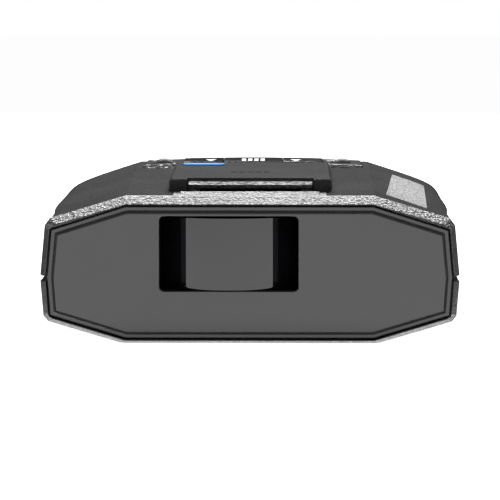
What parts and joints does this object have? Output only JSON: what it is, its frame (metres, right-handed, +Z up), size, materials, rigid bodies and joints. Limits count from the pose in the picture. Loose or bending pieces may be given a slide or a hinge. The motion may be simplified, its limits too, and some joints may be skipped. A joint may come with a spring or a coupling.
{
  "type": "radar detector",
  "caption": "Dashboard radar detector: low black case, smoked front window with a laser lens, sprung top keys, a bracket release bar, rear display and side sockets.",
  "frame": {"origin": "under the middle of the case, at the level of its flat base", "axes": "+X to the right seen from the front window, +Y from the front window towards the driver, +Z up"},
  "size_m": [0.075, 0.108, 0.0301],
  "materials": {
    "shell_grain": "coarse-grained black moulding",
    "skin_matt": "fine matt black",
    "plate_satin": "fine satin dark grey",
    "window_smoke": "polished smoked black",
    "lens_smoke": "polished smoked black",
    "frame_black": "plain black",
    "bar_grain": "coarse-grained black moulding",
    "key_gloss": "gloss black",
    "dome_smoke": "translucent grey",
    "badge_blue": "gloss blue",
    "board_green": "solder-masked board",
    "chip_black": "moulded package",
    "capacitor_can": "satin",
    "cast_metal": "as cast",
    "tinned_steel": "tinned",
    "screw_steel": "black oxide",
    "spring_steel": "bright wire",
    "jack_black": "moulded",
    "diode_dark": "clear dark epoxy",
    "ribbon_white": "flat flex",
    "wire_red": "insulated wire",
    "cone_paper": "pressed paper",
    "display_glass": "dark glass",
    "adhesive_black": "foam tape",
    "label_paper": "blank silver label"
  },
  "bodies": {
    "case": {"lower_housing": "shell_grain", "upper_housing": "shell_grain", "top_skin": "skin_matt", "front_window": "window_smoke", "window_adhesive": "adhesive_black", "lens_frame": "frame_black", "laser_lens": "lens_smoke", "laser_board": "board_green", "laser_photodiode": "diode_dark", "horn_antenna": "cast_metal", "rf_shield": "tinned_steel", "main_board": "board_green", "board_chips": "chip_black", "board_capacitors": "capacitor_can", "board_screws": "screw_steel", "case_screws": "screw_steel", "earphone_jack": "jack_black", "dc_jack": "jack_black", "usb_socket": "tinned_steel", "center_plate": "plate_satin", "badge": "badge_blue", "bracket_socket": "frame_black", "release_springs": "spring_steel", "control_deck": "plate_satin", "key_board": "board_green", "key_switches": "tinned_steel", "key_board_screws": "screw_steel", "speaker_frame": "tinned_steel", "speaker_magnet": "cast_metal", "speaker_cone": "cone_paper", "display_window": "window_smoke", "display_module": "display_glass", "display_board": "board_green", "display_ribbon": "ribbon_white", "key_ribbon": "ribbon_white", "board_connectors": "ribbon_white", "speaker_wires": "wire_red", "rating_label": "label_paper"},
    "left_arrow_key": {"left_arrow_key": "key_gloss"},
    "left_dome_button": {"left_dome_button": "dome_smoke"},
    "mute_key": {"mute_key": "key_gloss"},
    "release_bar": {"release_bar": "bar_grain"},
    "right_arrow_key": {"right_arrow_key": "key_gloss"},
    "right_dome_button": {"right_dome_button": "dome_smoke"}
  },
  "joints": [
    {"name": "left_arrow_press", "type": "slide", "parent": "case", "child": "left_arrow_key", "axis": [0, 0, -1], "range_m": [0, 0.0004], "stiffness_N_per_m": 600, "springref_m": -0.0015},
    {"name": "mute_press", "type": "slide", "parent": "case", "child": "mute_key", "axis": [0, 0, -1], "range_m": [0, 0.0004], "stiffness_N_per_m": 600, "springref_m": -0.0015},
    {"name": "right_arrow_press", "type": "slide", "parent": "case", "child": "right_arrow_key", "axis": [0, 0, -1], "range_m": [0, 0.0004], "stiffness_N_per_m": 600, "springref_m": -0.0015},
    {"name": "left_dome_press", "type": "slide", "parent": "case", "child": "left_dome_button", "axis": [0, 0, -1], "range_m": [0, 0.0004], "stiffness_N_per_m": 600, "springref_m": -0.0015},
    {"name": "right_dome_press", "type": "slide", "parent": "case", "child": "right_dome_button", "axis": [0, 0, -1], "range_m": [0, 0.0004], "stiffness_N_per_m": 600, "springref_m": -0.0015},
    {"name": "bracket_release_press", "type": "slide", "parent": "case", "child": "release_bar", "axis": [0, 0, -1], "range_m": [0, 0.0006], "stiffness_N_per_m": 1500, "springref_m": -0.001, "deforming": ["release_springs"]}
  ]
}
